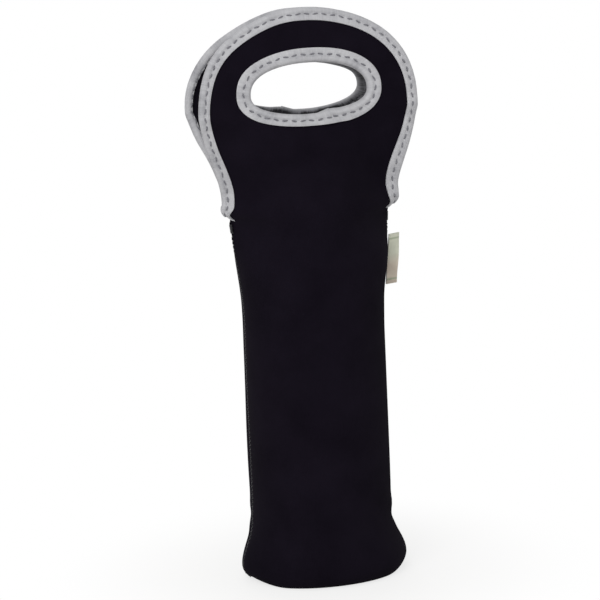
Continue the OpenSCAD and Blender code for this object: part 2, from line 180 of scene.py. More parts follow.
def lie_off(share, z, side="front"):
    """How far a place lies to the right and forwards, for its share across from -1 to 1."""
    sideways = mix(through(LIE_Z, LIE["left"], z), through(LIE_Z, LIE["right"], z), (1 + share) / 2)
    if side == "rear":
        near, left = through(LIE_Z, LIE["near"], z), ease((-share - LEFT_FROM) / LEFT_OVER)
        loose = mix(near * (1 - np.maximum(share, 0) ** 3), through(LIE_Z, LIE["rear"], z), left)
        return mix(sideways, loose, ease((z - SEAM_Z) / START_OVER)), -NEARER * near * (1 - left)
    return sideways, through(LIE_Z, LIE["forward"], z) * np.maximum(share, 0) ** 4


# How far the top edge is raised at each place across, in mm, and the height from which it is
TOP_X = [-60, -41, -28, -16, -4, 46, 60]
TOP_RISE = [-0.6, -1.1, -0.4, 0.7, 1.2, 1.0, 0.3]
RISE_FROM, RISE_OVER = 312, 28
# The rear leaf sags a little over its hand opening
SAG_DEPTH, SAG_Z, SAG_REACH = 2.0, 317, 11


def leaf_face(x, z, side="front"):
    """A point of a leaf's outer face, as its sheet lies. The rear leaf is worked out in front too,
    and mirrored when its mesh is made."""
    x, z = np.broadcast_arrays(np.asarray(x, float), np.asarray(z, float))
    share = across_share(x, z)
    depth = leaf_bulge(z) * np.maximum(0, 1 - share ** 2) ** leaf_power(z)
    sideways, forwards = lie_off(share * np.sign(x), z, side)
    rise = through(TOP_X, TOP_RISE, np.clip(x, TOP_X[0], TOP_X[-1])) * ease((z - RISE_FROM) / RISE_OVER)
    if side == "rear":
        rise = rise - SAG_DEPTH * bell((z - SAG_Z) / SAG_REACH) * band(x, -16, 30, 20, 30)
    return np.stack([x + sideways, -leaf_spread(z) - depth - forwards, z + rise], -1)


def unit(v):
    return v / np.maximum(np.linalg.norm(v, axis=-1, keepdims=True), 1e-9)


# Half the length over which a slope is measured
PROBE = 1.5


def leaf_normal(x, z, side="front"):
    """The way out of a leaf's outer face."""
    x, z = np.broadcast_arrays(np.asarray(x, float), np.asarray(z, float))
    high = np.minimum(z + PROBE, TOP_Z - PROBE / 2)
    low = np.maximum(high - 2 * PROBE, SEAM_Z)
    level = [np.clip(x + d, -leaf_half(z), leaf_half(z)) for d in (-PROBE, PROBE)]
    across = leaf_face(level[1], z, side) - leaf_face(level[0], z, side)
    across[..., 0] = np.maximum(across[..., 0], TAPE_GAP)
    ends = [leaf_face(np.clip(x, -leaf_half(e), leaf_half(e)), e, side) for e in (low, high)]
    up = ends[1] - ends[0]
    up[..., 0] = 0
    return unit(np.cross(across, up))


print("leaf half width at seam, neck, head:", leaf_half(np.array([SEAM_Z, 256, HEAD_Z])).round(1))

# %% [markdown]
# Below the seam tops the sheet wraps round a cylinder, and under it the two sheets turn in to the
# seam in the middle of the base. Flat cut corners stay wider than the round body, so they stand out
# as two soft ears. Close under the seam tops the sheets no longer meet round, but at an angle. Rows
# go from the base seam up, and columns from the left seam to the right one.

# %% The body's rows
COLUMNS = 72
BASE_ROWS, ROUND_ROWS, FOOT_ROWS, SIDE_ROWS, TOP_ROWS = 16, 9, 12, 39, 28
# The angle at which a cut corner starts, and the share of its turn that lies on the flat base
CORNER_START, BASE_TURN = 35, 4 / 7
# The base seam pulls the sheets up by this much, and this far to each side of it
BASE_LIFT, BASE_LIFT_FROM, BASE_LIFT_OVER = 0.6, 0.5, 2.6
# How much shallower the foot's section is towards the ears, and the share across from which it rises
EAR_PINCH, EAR_POWER, EAR_FROM = 0.3, 6, 0.6
# The height from which the section closes to an angle
ANGLE_FROM = 196


def corner_angle(t):
    return np.radians(mix(CORNER_START, 90, t))


def foot_half(z):
    low = mix(FLARE_HALF, BODY_HALF, ease((z - CORNER_R) / (FLARE_H - CORNER_R)))
    return np.where(z < FLARE_H, low, mix(BODY_HALF, SEAM_HALF, ease((z - TAPER_Z) / (SEAM_Z - TAPER_Z))))


def body_rows():
    """Half width, end height, depth, middle height and corner angle of each row."""
    flat = BODY_HALF - BASE_ROUND
    rows = []
    for t in np.linspace(0, 1, BASE_ROWS + 1)[:-1]:
        a = corner_angle(t * BASE_TURN)
        depth = np.interp(t, [0, 0.25, 0.5, 0.75, 1], [0, 1.35, 2.7, flat / 2, flat])
        rows.append([FLARE_HALF - CORNER_R * (1 - np.sin(a)), CORNER_R * (1 - np.cos(a)), depth,
                     BASE_LIFT * (1 - ease((depth - BASE_LIFT_FROM) / BASE_LIFT_OVER)), a])
    for t in np.linspace(0, 1, ROUND_ROWS + 1)[:-1]:
        a, b = corner_angle(mix(BASE_TURN, 1, t)), math.pi / 2 * t
        rows.append([FLARE_HALF - CORNER_R * (1 - np.sin(a)), CORNER_R * (1 - np.cos(a)),
                     flat + BASE_ROUND * math.sin(b), BASE_ROUND * (1 - math.cos(b)), a])
    for t in np.linspace(0, 1, FOOT_ROWS + 1)[:-1]:
        z = mix(CORNER_R, FLARE_H, t)
        rows.append([foot_half(z), z, BODY_HALF, mix(BASE_ROUND, FLARE_H, t), math.pi / 2])
    low, high = np.linspace(FLARE_H, TAPER_Z, SIDE_ROWS + 1)[:-1], np.linspace(TAPER_Z, SEAM_Z, TOP_ROWS)
    for z in [*low, *high]:
        depth = mix(BODY_HALF, SEAM_BULGE, ease((z - TAPER_Z) / (SEAM_Z - TAPER_Z)))
        rows.append([foot_half(z), z, depth, z, math.pi / 2])
    return np.array(rows, float)


ROWS = body_rows()
ANGLE = np.radians(np.linspace(-90, 90, COLUMNS + 1))


def body_face():
    """Points of the front sheet's outer face below the fold, and the ways out of it there."""
    s, c = np.sin(ANGLE)[None], np.cos(ANGLE)[None]
    half, end, depth, middle = (ROWS[:, k, None] for k in range(4))
    narrow = 1 - EAR_PINCH * np.abs(s) ** EAR_POWER * (1 - ease((end - CORNER_R) / (FLARE_H - CORNER_R)))
    rise = np.clip((np.abs(s) - EAR_FROM) / (1 - EAR_FROM), 0, 1) ** 2
    pinched = np.maximum(c, 0) ** (1 + ease((end - ANGLE_FROM) / (SEAM_Z - ANGLE_FROM)))
    points = np.stack(np.broadcast_arrays(half * s, -SEAM_GAP - depth * pinched * narrow,
                                          mix(middle, end, rise)), -1)
    normals = np.cross(np.gradient(points, axis=1), np.gradient(points, axis=0))
    normals[0, :, 1] = normals[:, 0, 1] = normals[:, -1, 1] = normals[-1, :, 2] = 0
    normals = unit(normals)
    curled = ROWS[:, 1] <= CORNER_R
    for column, way in ((0, -1), (-1, 1)):
        a = ROWS[curled, 4]
        normals[curled, column] = np.stack([way * np.sin(a), 0 * a, -np.cos(a)], -1)
    points[..., 0] += lie_off(s + 0 * half, points[..., 2])[0]
    return points, normals


BODY_POINTS, BODY_NORMALS = body_face()
print("body rows:", len(ROWS), "width at the foot:", round(2 * BODY_POINTS[:, :, 0].max(), 1), "mm")

# %% [markdown]
# Foam rubber never lies quite flat. A few long waves, at most 0.7 mm deep, soft creases above the
# ears and at the seam tops, and a shallow valley along each seam make light run over the sheet as it
# does on the real one. The waves are sums of sines with a fixed seed, so each run gives the same
# sheet, and every layer and tape gets the same push.

# %% Soft unevenness
# Depths in mm: of one long wave, the creases above the ears and at the seam tops, and the valley
WAVES, WAVE_DEPTH = 8, 0.16
EAR_CREASE, TOP_CREASE, SEAM_VALLEY = 0.45, 0.7, 0.35


def unevenness(z, angle, seed):
    """How far the outer face is pushed out, in mm, at a height and an angle round the body."""
    rng = np.random.default_rng(seed)
    long_waves = 0
    for _ in range(WAVES):
        turns, rise = rng.uniform(-2.5, 2.5), rng.uniform(0.01, 0.07)
        long_waves = long_waves + rng.uniform(0.5, 1) * np.sin(turns * angle + rise * z + rng.uniform(0, 6.3))
    side = np.clip(np.abs(angle) / (math.pi / 2), 0, 1)
    calm = mix(1, 0.5, ease((z - 225) / 60)) * (1 - ease((side - 0.9) / 0.1))
    push = WAVE_DEPTH * long_waves * ease(z / 30) * calm
    foot = bell((z - 36) / 11) * band(side, 0.35, 0.4, 0.93, 0.07)
    push = push + EAR_CREASE * foot * np.sin((z + 9 * side + 2 * np.sin(angle)) / 2.6)
    push = push - TOP_CREASE * bell((z - 224 - 26 * (1 - side)) / 9) * band(side, 0.3, 0.3, 0.85, 0.15)
    valley = bell((1 - side) / 0.035) * (1 - ease((z - 214) / 7))
    return push - SEAM_VALLEY * valley


def leaf_angle(x, z):
    return np.sign(x) * np.arcsin(across_share(x, z))


SEEDS = {"front": 11, "rear": 29}


def leaf_at(x, z, side):
    """A leaf's outer face with its unevenness, and the way out of it."""
    normal = leaf_normal(x, z, side)
    push = unevenness(z, leaf_angle(x, z), SEEDS[side])
    return leaf_face(x, z, side) + normal * push[..., None], normal


# %% [markdown]
# The leaf is a ring: an outline outside, the hand opening inside, and rows of points between them.
# The outline starts along the fold, where it shares its points with the body's top row, so the sheet
# is one skin from the base seam to the top of the handle.

# %% The leaf's ring of points
RINGS = 32
NECK_STEPS, ARC_STEPS = 46, 44
# Heights count for less than widths where the outline's points are paired with the opening's
PAIRING = 0.62


def leaf_outline():
    """The cut edge of a leaf, from the right seam top round to the left one, as x and z."""
    rise = mix(SEAM_Z, HEAD_Z, np.linspace(0, 1, NECK_STEPS + 1))
    right = np.stack([leaf_half(rise), rise], -1)
    a = np.radians(np.linspace(0, 180, 2 * ARC_STEPS + 1)[1:-1])
    arc = np.stack([HEAD_HALF * np.abs(np.cos(a)) ** (2 / HEAD_POWER) * np.sign(np.cos(a)),
                    mix(HEAD_Z, TOP_Z, np.abs(np.sin(a)) ** (2 / HEAD_POWER))], -1)
    return np.concatenate([right, arc, right[::-1] * [-1, 1]])


def inward(line):
    """The way in from each point of the outline, square to it."""
    d = unit(np.gradient(line, axis=0))
    return np.stack([-d[:, 1], d[:, 0]], -1)


def hand_point(a, grow=0.0):
    """A point of the hand opening's cut, or of a line that lies further out by grow."""
    b = np.where(np.sin(a) > 0, HAND_UP, HAND_DOWN) + grow
    s, c = np.sin(a), np.cos(a)
    return np.stack([(HAND_HALF + grow) * np.sign(c) * np.abs(c) ** (2 / HAND_POWER),
                     HAND_Z + b * np.sign(s) * np.abs(s) ** (2 / HAND_POWER)], -1)


def leaf_rings():
    """Places of the leaf's points, ring by ring from the outline to the hand opening."""
    fold = np.stack([SEAM_HALF * np.sin(ANGLE), np.full(COLUMNS + 1, SEAM_Z)], -1)
    line = leaf_outline()
    edge = (line + inward(line) * NOSE_IN)[1:-1]
    outer = np.concatenate([fold, edge])
    a = np.arctan2((outer[:, 1] - HAND_Z) * PAIRING, outer[:, 0])
    inner = hand_point(a, NOSE_IN)
    share = np.linspace(0, 1, RINGS + 1)[:, None, None]
    return outer * (1 - share) + inner * share


LEAF_RINGS = leaf_rings()
print("points round the leaf:", LEAF_RINGS.shape[1], "rings:", LEAF_RINGS.shape[0])

# %% [markdown]
# Both parts are joined into one grid of four-sided faces. Each point also gets a place on the flat
# cloth, measured along the surface, so the knit runs straight over bulges and round the foot.

# %% One skin for each side
CLOTH_STEPS = 25


def arc_length(points, axis):
    steps = np.linalg.norm(np.diff(points, axis=axis), axis=-1)
    start = np.zeros_like(np.take(steps, [0], axis=axis))
    return np.cumsum(np.concatenate([start, steps], axis=axis), axis=axis)


def quads(grid):
    """Four-sided faces between the rows and columns of a grid of point numbers."""
    return np.stack([grid[:-1, :-1], grid[:-1, 1:], grid[1:, 1:], grid[1:, :-1]], -1).reshape(-1, 4)


def sheet_skin(side):
    """Points, normals, cloth places and faces of a sheet's outer face, worked out in front."""
    x, z = LEAF_RINGS[..., 0], LEAF_RINGS[..., 1]
    leaf_points, leaf_normals = leaf_at(x, z, side)
    angle = np.broadcast_to(ANGLE, BODY_POINTS.shape[:2])
    push = unevenness(BODY_POINTS[..., 2], angle, SEEDS[side])
    body = BODY_POINTS + BODY_NORMALS * push[..., None]
    body[..., 2] = np.maximum(body[..., 2], 0)
    rows, columns = body.shape[:2]
    count = rows * columns
    points = [body.reshape(-1, 3), leaf_points[0, columns:], leaf_points[1:].reshape(-1, 3)]
    normals = [BODY_NORMALS.reshape(-1, 3), leaf_normals[0, columns:], leaf_normals[1:].reshape(-1, 3)]
    grid = np.arange(count).reshape(rows, columns)
    around = x.shape[1]
    edge = around - columns
    first = np.concatenate([grid[-1], count + np.arange(edge)])
    rest = count + edge + np.arange((len(x) - 1) * around).reshape(-1, around)
    rings = np.concatenate([first[None], rest])
    ring_faces = quads(np.concatenate([rings, rings[:, :1]], axis=1))
    width = arc_length(body, 1)
    width = width - width[:, [columns // 2]]
    height = arc_length(body[:, columns // 2], 0)
    height = height - height[-1] + SEAM_Z
    body_cloth = np.stack(np.broadcast_arrays(width, height[:, None]), -1).reshape(-1, 2)
    steps = np.linspace(0, 1, CLOTH_STEPS)[:, None, None]
    level = np.broadcast_to(z, (CLOTH_STEPS, *z.shape))
    along = arc_length(leaf_face(x[None] * steps, level), 0)[-1] * np.sign(x)
    leaf_cloth = np.stack([along, z], -1)
    cloth = [body_cloth, leaf_cloth[0, columns:], leaf_cloth[1:].reshape(-1, 2)]
    return (np.concatenate(points), np.concatenate(normals), np.concatenate(cloth),
            np.concatenate([quads(grid), ring_faces]))


SKIN = {side: sheet_skin(side) for side in SEEDS}

# %% [markdown]
# Colours are written as sRGB hex values, as a colour picker gives them, and one function turns them
# into the linear numbers that Blender works in. One more function adds a node with its settings and
# its links, so that a material reads as a short list. The part of it that fills a node's inputs stands
# by itself, because a material's own shader is filled in the same way.

# %% Helpers for materials


def hex_colour(text):
    values = [int(text[i:i + 2], 16) / 255 for i in (1, 3, 5)]
    return (*[v / 12.92 if v <= 0.04045 else ((v + 0.055) / 1.055) ** 2.4 for v in values], 1.0)


def fill(tree, node, inputs):
    """Fills a node's inputs with values or links."""
    for socket, source in inputs.items():
        if isinstance(source, bpy.types.Node):
            source = source.outputs[0]
        if isinstance(source, bpy.types.NodeSocket):
            tree.links.new(source, node.inputs[socket])
        else:
            node.inputs[socket].default_value = source


def add(tree, kind, inputs=None, stops=(), **settings):
    """Adds a node, sets its settings and the stops of its ramp, and fills its inputs."""
    node = tree.nodes.new(kind)
    for name, value in settings.items():
        setattr(node, name, value)
    for _ in stops[2:]:
        node.color_ramp.elements.new(0.5)
    for k, (place, colour) in enumerate(stops):
        node.color_ramp.elements[k].position = place
        node.color_ramp.elements[k].color = hex_colour(colour)
    fill(tree, node, inputs or {})
    return node


def new_material(name, **sockets):
    """A material with one Principled shader, whose plain values are set on its own sockets."""
    material = bpy.data.materials.new(name)
    material.use_nodes = True
    tree = material.node_tree
    shader = next(n for n in tree.nodes if n.type == "BSDF_PRINCIPLED")
    for socket, value in sockets.items():
        shader.inputs[socket.replace("_", " ")].default_value = value
    return material, tree, shader


def cloth_place(tree, pitch_across, pitch_along):
    """Two numbers that count the threads across and along the cloth."""
    uv = add(tree, "ShaderNodeUVMap", uv_map="Cloth")
    split = add(tree, "ShaderNodeSeparateXYZ", {"Vector": uv})
    x, y = split.outputs["X"], split.outputs["Y"]
    across = add(tree, "ShaderNodeMath", {0: x, 1: 1 / (pitch_across * MM)}, operation="MULTIPLY")
    along = add(tree, "ShaderNodeMath", {0: y, 1: 1 / (pitch_along * MM)}, operation="MULTIPLY")
    return uv, across, along


# %% [markdown]
# The two faces are nylon jersey, knitted in columns of small V loops and dyed nearly black. Matt
# yarn with fine hairs gives the eye a deep soft black, a faint grey rim where the hairs catch light,
# and a low knit grain. Real columns are about 0.5 mm wide, finer than one dot of the picture, so
# they are drawn 0.9 mm wide.

# %% Nylon jersey


def jersey(name, dark, light, sheen):
    material, tree, shader = new_material(
        name, Roughness=0.9, Sheen_Weight=sheen, Sheen_Roughness=0.45, Specular_IOR_Level=0.0)
    uv, across, along = cloth_place(tree, 0.9, 0.75)
    column = add(tree, "ShaderNodeMath", {0: across, 1: 0.5}, operation="PINGPONG")
    slant = add(tree, "ShaderNodeMath", {0: column, 1: 1.3, 2: along}, operation="MULTIPLY_ADD")
    turn = add(tree, "ShaderNodeMath", {0: slant, 1: 2 * math.pi}, operation="MULTIPLY")
    loops = add(tree, "ShaderNodeMath", {0: turn}, operation="SINE")
    groove = add(tree, "ShaderNodeMath", {0: column, 1: 2.0, 2: loops}, operation="MULTIPLY_ADD")
    place = add(tree, "ShaderNodeTexCoord").outputs["Object"]
    hairs = add(tree, "ShaderNodeTexNoise", {"Vector": place, "Scale": 1400.0, "Detail": 2.0})
    clouds = add(tree, "ShaderNodeTexNoise",
                 {"Vector": place, "Scale": 28.0, "Detail": 5.0, "Roughness": 0.6})
    both = add(tree, "ShaderNodeMath", {0: groove, 1: 0.12, 2: clouds}, operation="MULTIPLY_ADD")
    colour = add(tree, "ShaderNodeValToRGB", {"Fac": both}, stops=[(0.25, dark), (0.8, light)])
    height = add(tree, "ShaderNodeMath", {0: hairs, 1: 1.2, 2: groove}, operation="MULTIPLY_ADD")
    bump = add(tree, "ShaderNodeBump", {"Height": height, "Strength": 0.3, "Distance": 0.18 * MM})
    rough = add(tree, "ShaderNodeMapRange", {"Value": clouds, "To Min": 0.8, "To Max": 0.95})
    fill(tree, shader, {"Base Color": colour, "Normal": bump, "Roughness": rough})
    return material


KNIT = jersey("nylon_jersey_black", "#100d14", "#19151e", 0.02)
LINING = jersey("nylon_jersey_lining", "#110f15", "#1a171f", 0.02)

# %% [markdown]
# The core is foam rubber with closed cells, cut through at the edges. It is a plain charcoal with
# tiny round pores, about 0.3 mm across, that show only close up.

# %% Foam rubber
FOAM, tree, shader = new_material("foam_rubber_charcoal", Roughness=0.9, Specular_IOR_Level=0.3)
place = add(tree, "ShaderNodeTexCoord").outputs["Object"]
cells = add(tree, "ShaderNodeTexVoronoi", {"Vector": place, "Scale": 1600.0})
patches = add(tree, "ShaderNodeTexNoise", {"Vector": place, "Scale": 60.0, "Detail": 3.0})
tint = add(tree, "ShaderNodeMath", {0: cells, 1: 0.4, 2: patches}, operation="MULTIPLY_ADD")
colour = add(tree, "ShaderNodeValToRGB", {"Fac": tint}, stops=[(0.3, "#1b1a1e"), (0.9, "#2c2a30")])
bump = add(tree, "ShaderNodeBump", {"Height": cells, "Strength": 0.4, "Distance": 0.2 * MM})
fill(tree, shader, {"Base Color": colour, "Normal": bump})

# %% [markdown]
# The edges are bound with a soft woven polyester tape, mid to light grey. Its weave is a fine
# twill, with ribs 0.4 mm apart on the real tape. They are drawn 0.8 mm apart so that they show.
# Yarn of slightly uneven dye gives low streaks along the tape. Hands darken the turn of the edge a
# little. Painted shade darkens the hollow beside the thread, and the inner half of the hand opening's
# tape is the darkest, with painted shade for the shadow between the two leaves.

# %% Woven binding tape
TAPE, tree, shader = new_material(
    "woven_polyester_tape_grey", Roughness=0.8, Sheen_Weight=0.2, Sheen_Roughness=0.4, Specular_IOR_Level=0.3)
uv, across, along = cloth_place(tree, 0.8, 0.8)
rib = add(tree, "ShaderNodeMath", {0: across, 1: along}, operation="ADD")
turn = add(tree, "ShaderNodeMath", {0: rib, 1: 2 * math.pi}, operation="MULTIPLY")
ribs = add(tree, "ShaderNodeMath", {0: turn}, operation="SINE")
yarn_turn = add(tree, "ShaderNodeMath", {0: across, 1: 4 * math.pi}, operation="MULTIPLY")
yarns = add(tree, "ShaderNodeMath", {0: yarn_turn}, operation="SINE")
weave = add(tree, "ShaderNodeMath", {0: yarns, 1: 0.4, 2: ribs}, operation="MULTIPLY_ADD")
place = add(tree, "ShaderNodeTexCoord").outputs["Object"]
blotches = add(tree, "ShaderNodeTexNoise", {"Vector": place, "Scale": 90.0, "Detail": 4.0, "Roughness": 0.6})
stretched = add(tree, "ShaderNodeMapping", {"Vector": uv, "Scale": (60.0, 900.0, 1.0)})
streaks = add(tree, "ShaderNodeTexNoise", {"Vector": stretched, "Scale": 1.0, "Detail": 2.0})
wear_painted_shade_border = add(tree, "ShaderNodeAttribute", attribute_name="wear_painted_shade_border")
tone = add(tree, "ShaderNodeMath", {0: weave, 1: 0.05, 2: blotches}, operation="MULTIPLY_ADD")
tone = add(tree, "ShaderNodeMath", {0: streaks, 1: 0.4, 2: tone}, operation="MULTIPLY_ADD")
# Darkens the grey by the attribute: wear on the turn, and painted shade in the hollow beside the thread and
# on the inner half of the hand tapes
tone = add(tree, "ShaderNodeMath", {0: wear_painted_shade_border.outputs["Fac"], 1: -0.45, 2: tone}, operation="MULTIPLY_ADD")
greys = [(0.0, "#242428"), (0.22, "#85858a"), (0.55, "#b0b0b4"), (0.95, "#c9c9cc")]
colour = add(tree, "ShaderNodeValToRGB", {"Fac": tone}, stops=greys)
bump = add(tree, "ShaderNodeBump", {"Height": weave, "Strength": 0.35, "Distance": 0.15 * MM})
fill(tree, shader, {"Base Color": colour, "Normal": bump})

# %% [markdown]
# The thread is spun polyester. Two or three plies wound round each other give slanting bands of
# light and shade, which a wave texture draws. The tape's thread is darker than the tape, and the
# seams' thread is black.

# %% Spun polyester thread


def thread(name, dark, light):
    material, tree, shader = new_material(name, Roughness=0.6, Sheen_Weight=0.2, Specular_IOR_Level=0.35)
    place = add(tree, "ShaderNodeTexCoord").outputs["Object"]
    bands = {"Vector": place, "Scale": 500.0, "Distortion": 2.0, "Detail": 1.0}
    plies = add(tree, "ShaderNodeTexWave", bands, bands_direction="DIAGONAL")
    fibres = add(tree, "ShaderNodeTexNoise", {"Vector": place, "Scale": 2200.0, "Detail": 2.0})
    tone = add(tree, "ShaderNodeMath", {0: fibres, 1: 0.5, 2: plies.outputs["Fac"]}, operation="MULTIPLY_ADD")
    colour = add(tree, "ShaderNodeValToRGB", {"Fac": tone}, stops=[(0.2, dark), (1.0, light)])
    bump = add(tree, "ShaderNodeBump", {"Height": tone, "Strength": 0.4, "Distance": 0.1 * MM})
    fill(tree, shader, {"Base Color": colour, "Normal": bump})
    return material


TAPE_THREAD = thread("spun_polyester_thread_grey", "#5c5c62", "#828288")
SEAM_THREAD = thread("spun_polyester_thread_black", "#0c0b0f", "#1c1a20")

# %% [markdown]
# The label is a woven satin ribbon, folded in two, whose colour runs from cream above to tan below.
# It is left without any sign or word. Two plain lines along its ends stand for the woven border that
# such ribbons have. Satin floats give it a finer, smoother grain than the tape, with ribs 0.25 mm
# apart, drawn 0.5 mm apart.

# %% Satin label ribbon
RIBBON, tree, shader = new_material(
    "satin_ribbon_cream", Roughness=0.55, Sheen_Weight=0.15, Specular_IOR_Level=0.4)
uv, across, along = cloth_place(tree, 0.5, 0.5)
turn = add(tree, "ShaderNodeMath", {0: along, 1: 2 * math.pi}, operation="MULTIPLY")
ribs = add(tree, "ShaderNodeMath", {0: turn}, operation="SINE")
place = add(tree, "ShaderNodeTexCoord").outputs["Object"]
soil = add(tree, "ShaderNodeTexNoise", {"Vector": place, "Scale": 120.0, "Detail": 4.0})
wear_painted_shade_border = add(tree, "ShaderNodeAttribute", attribute_name="wear_painted_shade_border")
tone = add(tree, "ShaderNodeMath", {0: ribs, 1: 0.06, 2: soil}, operation="MULTIPLY_ADD")
height = add(tree, "ShaderNodeMapRange", {"Value": along, "From Min": 24.0, "From Max": 38.0})
cream = add(tree, "ShaderNodeValToRGB", {"Fac": tone}, stops=[(0.25, "#babcab"), (0.7, "#d8dac8")])
tan = add(tree, "ShaderNodeValToRGB", {"Fac": tone}, stops=[(0.25, "#b8ac9d"), (0.7, "#d6caba")])
plain = add(tree, "ShaderNodeMix", {0: height, 6: tan, 7: cream}, data_type="RGBA").outputs[2]
border = add(tree, "ShaderNodeValToRGB", {"Fac": tone}, stops=[(0.25, "#8f9a80"), (0.7, "#a3ad93")])
mixed = add(tree, "ShaderNodeMix", {0: wear_painted_shade_border.outputs["Fac"], 6: plain, 7: border}, data_type="RGBA")
bump = add(tree, "ShaderNodeBump", {"Height": ribs, "Strength": 0.25, "Distance": 0.12 * MM})
fill(tree, shader, {"Base Color": mixed.outputs[2], "Normal": bump})
print("materials:", [m.name for m in (KNIT, LINING, FOAM, TAPE, TAPE_THREAD, SEAM_THREAD, RIBBON)])

# %% [markdown]
# A layer of cloth is a skin with a second skin behind it, joined along every free edge. The
# function finds those edges itself: they are the ones that only one face uses. The rear sheet is
# the front one mirrored, with its faces turned round so that they still point outwards.

# %% From skins to closed pieces


def closed(outer, inner, faces):
    """Points and faces of a thin solid between two skins with the same faces."""
    n = len(outer)
    starts, ends = faces.ravel(), np.roll(faces, -1, axis=1).ravel()
    keys = np.minimum(starts, ends) * n + np.maximum(starts, ends)
    _, index, uses = np.unique(keys, return_index=True, return_counts=True)
    free = index[uses == 1]
    a, b = starts[free], ends[free]
    rim = np.stack([b, a, a + n, b + n], -1)
    return np.concatenate([outer, inner]), np.concatenate([faces, faces[:, ::-1] + n, rim])


def placed(name, data):
    """An object with this data, linked into the scene."""
    thing = bpy.data.objects.new(name, data)
    bpy.context.scene.collection.objects.link(thing)
    return thing


def new_piece(name, points, faces, material, cloth=None, wear_painted_shade_border=None, side="front", sharp=50):
    """A mesh object with smooth faces, sharp rims, its cloth map, and its marks of wear, painted shade and
    woven lines.
    """
    points, faces = np.asarray(points, float), np.asarray(faces)
    if side == "rear":
        points, faces = points * [1, -1, 1], faces[:, ::-1]
    mesh = bpy.data.meshes.new(name)
    mesh.from_pydata((points * MM).tolist(), [], faces.tolist())
    mesh.materials.append(material)
    if cloth is not None:
        corners = np.empty(len(mesh.loops), int)
        mesh.loops.foreach_get("vertex_index", corners)
        mesh.uv_layers.new(name="Cloth").data.foreach_set("uv", (cloth[corners] * MM).ravel())
    if wear_painted_shade_border is not None:
        mesh.attributes.new("wear_painted_shade_border", "FLOAT", "POINT").data.foreach_set("value", wear_painted_shade_border.astype(np.float32))
    mesh.shade_smooth()
    mesh.set_sharp_from_angle(angle=math.radians(sharp))
    return placed(name, mesh)


def folded_strip(name, outer, inner, material, across, along, wear_painted_shade_border, side="front", sharp=50):
    """A strip of cloth between two grids of points, with the places of both on the cloth."""
    grid = np.arange(outer[..., 0].size).reshape(outer.shape[:2])
    points, faces = closed(outer.reshape(-1, 3), inner.reshape(-1, 3), quads(grid))
    cloth = np.stack(np.broadcast_arrays(across, along), -1).reshape(-1, 2)
    wear_painted_shade_border = np.broadcast_to(wear_painted_shade_border, grid.shape).ravel()
    piece = new_piece(name, points, faces, material, np.tile(cloth, (2, 1)), np.tile(wear_painted_shade_border, 2), side, sharp)
    bm = bmesh.new()
    bm.from_mesh(piece.data)
    bmesh.ops.recalc_face_normals(bm, faces=bm.faces)
    bm.to_mesh(piece.data)
    bm.free()
    return piece


# %% [markdown]
# The sheet is a laminate: knit, foam and knit, glued face to face. Each layer is a piece of its
# own, made from the same skin at its own depth. Behind the seams the layers stop at the middle
# plane, where the other sheet begins.

# %% The three layers of each sheet
LAYERS = [
    ("knit", 0, FACE_T, KNIT, ("body_face", "leaf_face"), "knit_face"),
    ("foam", FACE_T + BOND, FACE_T + BOND + FOAM_T, FOAM, ("body_foam", "leaf_foam"), "foam_core"),
    ("lining", SHEET_T - LINING_T, SHEET_T, LINING, ("body_lining", "leaf_lining"), "knit_lining"),
]
for side in SEEDS:
    points, normals, cloth, faces = SKIN[side]
    for layer, top, under, material, nodes, slot in LAYERS:
        skins = [points - normals * depth for depth in (top, under)]
        for skin in skins:
            skin[:, 1] = np.minimum(skin[:, 1], -SEAM_GAP)
        solid, solid_faces = closed(*skins, faces)
        piece = new_piece(f"{side}_sheet_{layer}", solid, solid_faces, material, np.tile(cloth, (2, 1)),
                          side=side)
        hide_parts(*[f"{side}_{node}" for node in nodes])
        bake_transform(piece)
        print(piece.name, len(piece.data.polygons), "faces")
for side in SEEDS:
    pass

# %% [markdown]
# A binding tape is folded over the cut edge and sewn through once, near its middle. Its section is
# a U: flat on one face, round over the edge, flat on the other face. It is swept along the edge in
# code, because each section has to sit on the bulging sheet. The thread pulls a valley into it, and
# each stitch a small dimple, so the width between is slightly puffed.

# %% A tape folded over an edge
FLAT_STEPS, NOSE_STEPS = 11, 12
# In mm: the puff, the dimple of a stitch, how far both reach beside the thread, and the soft rim
PUFF, DIMPLE = 0.3, 0.45
PUFF_REACH, DIMPLE_REACH, RIM_REACH = 0.85, 0.9, 1.2
# The thread lies at least this far in from the turn, and directions are measured over this length
THREAD_IN, STEP_IN = 0.6, 0.8
# The share of a second layer's lift that is left where the tape is pulled round the edge
LAP_AT_TURN = 0.4
# How dark wear makes the turn and painted shade the hollow beside the thread, and how narrow the dark turn is
TURN_WEAR, HOLLOW_SHADE, TURN_NARROW = 0.45, 0.35, 3.2
# The share of the section's length at which that hollow lies, on the edge's side of the thread
HOLLOW_SHARE = 0.29


